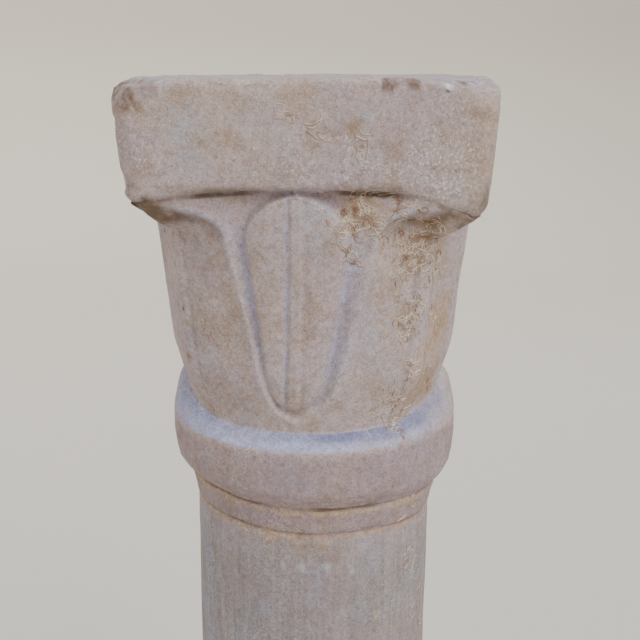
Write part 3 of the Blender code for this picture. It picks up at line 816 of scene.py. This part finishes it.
def makeStone(grain):
    # mottled marble: broad colour patches, stains, painted shade, sky light and warm bounce light where the
    # masks say, grain, flecks, then dirt with painted shade, and lichen
    s = stoneLook
    material, tree, shader = newMaterial("weatheredMarble")
    place = addNode(tree, "ShaderNodeTexCoord").outputs["Object"]

    def mask(name):
        return addNode(tree, "ShaderNodeAttribute", attribute_name=name).outputs["Fac"]

    def times(first, second):
        return mathNode(tree, "MULTIPLY", first, second)

    def noise(name, where=place):
        return noiseMask(tree, where, *stoneNoise[name])

    def stained(colour, name):
        # laid on where the mask says, broken up by its noise
        return mixColour(tree, times(mask(name), noise(name)), colour, s[name])

    colour = mixColour(tree, noise("mottle"), s["mauve"], s["beige"])
    patches = [("coolPatch", 0.6, "cool"), ("pinkPatch", 0.5, "pink")]
    patches += [("ochrePatch", 0.7, "ochreAndWarmBounce"), ("ochreSpeck", 0.5, "ochreAndWarmBounce")]
    for patch, strength, tone in patches:
        colour = mixColour(tree, times(noise(patch), strength), colour, s[tone])
    shaftTone = mixColour(tree, noise("shaftMottle"), s["grey"], s["greenGrey"])
    shaftTone = mixColour(tree, times(noise("bluePatch"), 0.7), shaftTone, s["blueGrey"])
    stretch = addNode(tree, "ShaderNodeMapping")               # draws the noise out along the shaft
    stretch.inputs["Scale"].default_value = (1.0, 1.0, s["streakStretch"])
    tree.links.new(place, stretch.inputs["Vector"])
    streaks = noise("chiselStreak", stretch.outputs["Vector"])
    shaftTone = mixColour(tree, times(streaks, s["streakTone"]), shaftTone, s["wear"])
    colour = mixColour(tree, times(mask("grey"), s["shaftTone"]), colour, shaftTone)
    colour = mixColour(tree, mask("band"), colour, s["band"], "MULTIPLY")
    # smudges and streaks, with painted shade on the bell's left side and along the shaft's left edge
    colour = stained(stained(colour, "smudgeAndShade"), "streakAndShade")
    # tan stains and seams, with painted warm bounce light on the column's right side
    tanAndWarmBounce = mathNode(tree, "MAXIMUM", mask("tanAndWarmBounce"), times(mask("seam"), noise("seam")))
    colour = mixColour(tree, times(tanAndWarmBounce, noise("tanAndWarmBounce")), colour, s["tanAndWarmBounce"])
    # painted shade in dark olive under the block's corners, cool patches, and ochre stains with painted warm
    # bounce light on the column's right side
    colour = stained(stained(stained(colour, "oliveShade"), "cool"), "ochreAndWarmBounce")
    colour = mixColour(tree, times(mask("arris"), s["arrisTone"]), colour, s["wear"])
    # painted bluish sky light in the leaf channels, on the ledge, along the corner leaves' lips and on the
    # midrib's left flank
    skyLightBreak = mathNode(tree, "ADD", noise("pale"), 0.5)
    colour = mixColour(tree, times(times(mask("pale"), skyLightBreak), s["skyLightTone"]), colour, s["pale"])
    # painted shade in the crease above the ledge
    colour = stained(colour, "creaseShade")
    crystals = grainNode(tree, grain, place, s["grain"])
    colour = shaded(tree, colour, crystals)
    frost = mathNode(tree, "ADD", times(noise("frostPatch"), s["frostTone"]), mask("frost"))
    colour = mixColour(tree, times(times(noise("fleck"), frost), s["fleckTone"]), colour, s["fleck"])
    # dirt, with painted shade under the corner leaves' lips and under the block's corners and lower edge,
    # then rust
    colour = stained(stained(colour, "dirtAndShade"), "rust")
    lichen = times(mask("lichen"), mathNode(tree, "ADD", noise("lichen"), 0.25))
    colour = mixColour(tree, lichen, colour, s["lichen"])
    for stain in ("white", "spot"):
        colour = mixColour(tree, mask(stain), colour, s[stain])
    tree.links.new(colour, shader.inputs["Base Color"])
    rough = addNode(tree, "ShaderNodeMapRange")
    rough.inputs["To Min"].default_value = s["roughness"] - s["roughnessRange"]
    rough.inputs["To Max"].default_value = s["roughness"] + s["roughnessRange"]
    tree.links.new(noise("gloss"), rough.inputs["Value"])
    tree.links.new(rough.outputs[0], shader.inputs["Roughness"])
    bump = addNode(tree, "ShaderNodeBump")
    bump.inputs["Strength"].default_value = s["bump"]
    bump.inputs["Distance"].default_value = s["bumpDistance"]
    tree.links.new(crystals.outputs["Height"], bump.inputs["Height"])
    tree.links.new(bump.outputs["Normal"], shader.inputs["Normal"])
    return material


def makeColumn(grain):
    mesh = closedGrid("carvedColumn", columnPoints)
    spots = paintMarks()
    m = columnMasks
    broken = softStep(0.6 + layeredNoise(columnPoints, 0.02, 3, 81))       # dirt lies unevenly in the cuts
    # the dark layer: dirt in the ring's cut lines and the corner leaves' lines, the dark quirk, and painted
    # shade in the recess under the corner leaves' lips, under the block's corners and along the block's lower
    # edge
    dirtAndShade = 0.9 * m["quirk"] + 0.8 * m["cut"] * broken + 0.9 * m["shade"] * softStep(broken + 0.3)
    dirtAndShade = dirtAndShade + 0.45 * m["cornerLine"] * broken + 0.55 * m["eaveShade"]
    # painted bluish sky light in the leaf channels, on the ledge, along the corner leaves' lips and on the
    # midrib's left flank
    pale = 0.8 * m["channel"] + 1.5 * m["ledge"] + 0.9 * m["lip"] + 0.8 * m["ribLine"]
    depth = columnHeight - columnPoints[..., 2]
    _, rim, ringFoot, _, _ = ringLevels()
    below = 0.35 * ramp(depth, rim, 0.01) + 0.65 * ramp(depth, ringFoot, 0.07)
    below = below * (1.0 - 0.3 * ramp(depth, ringFoot + 0.12, 0.25))
    paintMask(mesh, "dirtAndShade", np.clip(dirtAndShade, 0.0, 1.0))
    paintMask(mesh, "pale", np.clip(pale, 0.0, 1.5))
    paintMask(mesh, "grey", below)
    for name, strength in (("seam", 1.0), ("creaseShade", 0.95), ("band", 1.0)):
        paintMask(mesh, name, np.clip(strength * m[name], 0.0, 1.0))
    paintMask(mesh, "arris", columnArris)
    for kind, values in spots.items():
        paintMask(mesh, kind, np.clip(values, 0.0, 1.0))
    mesh.materials.append(makeStone(grain))
    piece = addObject("carvedColumn", mesh)
    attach(piece, "root")
    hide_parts("column")
    return piece


# Dry rootlets, each patch: box of pixels in the photograph where they start, how many, length in
# millimetres, and the direction they run in degrees, 0 to the right and 90 down, or None for any
rootlets = {
    "radius": 0.00034, "sides": 5, "step": 0.0009, "seed": 5, "jitter": 0.26, "curl": 0.42,
    "pale": (0.7, 0.58, 0.47), "dark": (0.32, 0.2, 0.12), "grain": 0.8,
    "patches": [
        (272, 110, 290, 119, 5, 14, 20), (303, 123, 320, 138, 6, 16, 50),
        (354, 140, 367, 153, 5, 13, 60), (353, 124, 362, 140, 4, 12, 80), (304, 190, 330, 196, 3, 13, 0),
        (345, 195, 398, 202, 16, 19, 0), (338, 208, 352, 240, 22, 20, 60),
        (350, 232, 357, 262, 10, 18, 85), (345, 207, 376, 230, 34, 16, None),
        (370, 224, 398, 240, 12, 18, -50), (395, 204, 420, 218, 12, 16, -25),
        (395, 238, 441, 274, 80, 13, None), (404, 222, 446, 245, 26, 14, None),
        (394, 252, 408, 262, 4, 16, 20), (412, 288, 422, 296, 5, 18, 60),
        (391, 296, 401, 303, 3, 16, -30), (400, 306, 418, 333, 26, 13, None),
        (398, 316, 402, 340, 4, 26, 90), (429, 300, 441, 328, 10, 10, None),
        (434, 262, 452, 272, 6, 9, None), (405, 360, 416, 378, 14, 11, None),
        (425, 360, 429, 380, 6, 15, 90), (421, 385, 428, 391, 3, 10, -20),
        (393, 366, 397, 398, 4, 26, 90), (380, 398, 402, 436, 26, 15, -60),
        (394, 434, 400, 438, 2, 12, 0), (404, 498, 426, 516, 8, 13, None),
        (404, 540, 424, 630, 12, 15, 90),
    ],
}


def gridSample(field, row, col):
    # bilinear reading of a grid that closes on itself around the column
    rows, cols = field.shape[:2]
    row = np.clip(row, 0.0, rows - 1.001)
    r0, c0 = np.floor(row).astype(int), np.floor(col).astype(int)
    fr, fc = (row - r0)[..., None], (col - c0)[..., None]
    c0, c1 = c0 % cols, (c0 + 1) % cols
    upper = field[r0, c0] * (1 - fc) + field[r0, c1] * fc
    lower = field[r0 + 1, c0] * (1 - fc) + field[r0 + 1, c1] * fc
    return upper * (1 - fr) + lower * fr


def rootletPaths(patch, random):
    # walks over the stone: the heading turns by a slowly changing curl and a jitter, and each step of a set
    # length is turned into rows and columns of the grid by the local spacing
    x0, y0, x1, y1, count, length, direction = patch
    steps = int(length / 1000 / rootlets["step"])
    starts = zip(random.uniform(x0, x1, count), random.uniform(y0, y1, count))
    spots = [gridAtPixel(start, columnSeen) for start in starts]
    row, col = np.array(spots, dtype=float).T
    heading = random.uniform(0.0, 2 * math.pi, count)
    if direction is not None:
        heading = math.radians(direction) + random.normal(0.0, 0.35, count)
    curl = random.uniform(-0.5, 0.5, count) * rootlets["curl"]
    rowGap = np.linalg.norm(np.gradient(columnPoints, axis=0), axis=-1)[..., None]
    colGap = np.linalg.norm(np.roll(columnPoints, -1, axis=1) - columnPoints, axis=-1)[..., None]
    spine, lift = [], []
    for _ in range(steps):
        spine.append(gridSample(columnPoints, row, col))
        lift.append(gridSample(columnNormals, row, col))
        row = row + rootlets["step"] * np.sin(heading) / gridSample(rowGap, row, col)[:, 0]
        col = col + rootlets["step"] * np.cos(heading) / gridSample(colGap, row, col)[:, 0]
        curl = np.clip(curl + random.uniform(-0.15, 0.15, count), -rootlets["curl"], rootlets["curl"])
        heading = heading + curl + random.normal(0.0, rootlets["jitter"], count)
    return np.stack(spine, axis=1), np.stack(lift, axis=1)


def tubes(spine, lift, radius, sides):
    # rings of points round each path: centre + r (cos a x lift + sin a x side), thin at both ends
    along = np.gradient(spine, axis=1)
    along /= np.maximum(np.linalg.norm(along, axis=-1, keepdims=True), 1e-9)
    side = np.cross(along, lift)
    side /= np.maximum(np.linalg.norm(side, axis=-1, keepdims=True), 1e-9)
    share = np.linspace(0.0, 1.0, spine.shape[1])
    swell = radius[:, None] * np.clip(np.minimum(share, 1.0 - share)[None, :] * 6.0 + 0.3, 0.0, 1.0)
    angle = np.linspace(0.0, 2 * math.pi, sides, endpoint=False)
    centre = spine + lift * (swell * 0.6)[..., None]
    ring = np.cos(angle)[:, None] * lift[:, :, None, :] + np.sin(angle)[:, None] * side[:, :, None, :]
    points = centre[:, :, None, :] + ring * swell[:, :, None, None]
    count, steps = spine.shape[:2]
    index = np.arange(count * steps * sides).reshape(count, steps, sides)
    nextSide = np.roll(index, -1, axis=2)
    quads = np.stack([index[:, :-1], nextSide[:, :-1], nextSide[:, 1:], index[:, 1:]], axis=-1).reshape(-1, 4)
    return points.reshape(-1, 3), quads, np.concatenate([index[:, 0, ::-1], index[:, -1]])


def makeRootletSkin(grain):
    # pale straw with darker stretches
    material, tree, shader = newMaterial("dryRootlet")
    place = addNode(tree, "ShaderNodeTexCoord").outputs["Object"]
    crystals = grainNode(tree, grain, place, rootlets["grain"])
    patches = noiseMask(tree, place, 150.0, 0.45, 0.6)
    colour = mixColour(tree, patches, rootlets["pale"], rootlets["dark"])
    tree.links.new(shaded(tree, colour, crystals), shader.inputs["Base Color"])
    shader.inputs["Roughness"].default_value = 0.8
    return material


def makeRootlets(grain):
    random = np.random.default_rng(rootlets["seed"])
    vertices, faces, total = [], [], 0
    for patch in rootlets["patches"]:
        spine, lift = rootletPaths(patch, random)
        radius = rootlets["radius"] * random.uniform(0.55, 1.35, len(spine))
        points, quads, ends = tubes(spine, lift, radius, rootlets["sides"])
        vertices.append(points)
        faces += (quads + total).tolist() + (ends + total).tolist()
        total += len(points)
    mesh = bpy.data.meshes.new("dryRootlets")
    mesh.from_pydata(np.concatenate(vertices), [], faces)
    mesh.validate()
    mesh.shade_smooth()
    mesh.materials.append(makeRootletSkin(grain))
    piece = addObject("dryRootlets", mesh)
    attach(piece, "root")
    return piece


grainGroup = makeGrainGroup()
carvedColumn = makeColumn(grainGroup)
print("carved column made")
dryRootlets = makeRootlets(grainGroup)
print("rootlets made", len(dryRootlets.data.polygons))

# Floor and light
studio = {
    "floor": (0.7, 0.64, 0.54), "floorRadius": 4.5, "sweep": 1.4, "wallTop": 3.0,
    "world": (0.86, 0.87, 0.9), "worldStrength": 0.5,
    "key": {"tilt": 50.0, "azimuth": 50.0, "spread": 40.0, "power": 2.3, "colour": (1.0, 0.97, 0.93)},
    "sky": {"tilt": 8.0, "azimuth": 0.0, "spread": 110.0, "power": 1.9, "colour": (0.72, 0.82, 1.0)},
}


def makeFloor():
    # a flat round floor that curves up into a low wall far away: a profile turned round the axis
    arc = np.linspace(0.0, math.pi / 2, 16)
    radius = np.concatenate([[0.01, 1.5], studio["floorRadius"] + studio["sweep"] * np.sin(arc)])
    height = np.concatenate([[0.0, 0.0], studio["sweep"] * (1.0 - np.cos(arc))])
    radius = np.append(radius, radius[-1])[:, None]
    height = np.append(height, studio["wallTop"])[:, None]
    turn = np.linspace(0.0, 2 * math.pi, 96, endpoint=False)[None, :]
    points = np.stack([radius * np.cos(turn), radius * np.sin(turn), height + 0.0 * turn], axis=-1)
    grid = np.arange(points.shape[0] * points.shape[1]).reshape(points.shape[:2])
    mesh = bpy.data.meshes.new("floor")
    mesh.from_pydata(points.reshape(-1, 3), [], gridQuads(grid).tolist() + [grid[0].tolist()])
    mesh.shade_smooth()
    material, _, shader = newMaterial("paleFloor")
    shader.inputs["Base Color"].default_value = (*studio["floor"], 1.0)
    shader.inputs["Roughness"].default_value = 0.9
    mesh.materials.append(material)
    floor = addObject("floor", mesh)


def makeLight(name):
    # a wide, soft sun: tilted from straight overhead towards its azimuth, which counts from the front
    # to the right
    lamp = studio[name]
    data = bpy.data.lights.new(name, "SUN")
    data.angle = math.radians(lamp["spread"])
    data.energy = lamp["power"]
    data.color = lamp["colour"]
    light = addObject(name, data)
    light.rotation_euler = (math.radians(lamp["tilt"]), 0.0, math.radians(lamp["azimuth"]))


def makeWorld():
    world = bpy.data.worlds.new("studio")
    world.use_nodes = True
    background = world.node_tree.nodes["Background"]
    background.inputs["Color"].default_value = (*studio["world"], 1.0)
    background.inputs["Strength"].default_value = studio["worldStrength"]
    bpy.context.scene.world = world


makeFloor()
makeWorld()
makeLight("key")
makeLight("sky")
print("studio made")
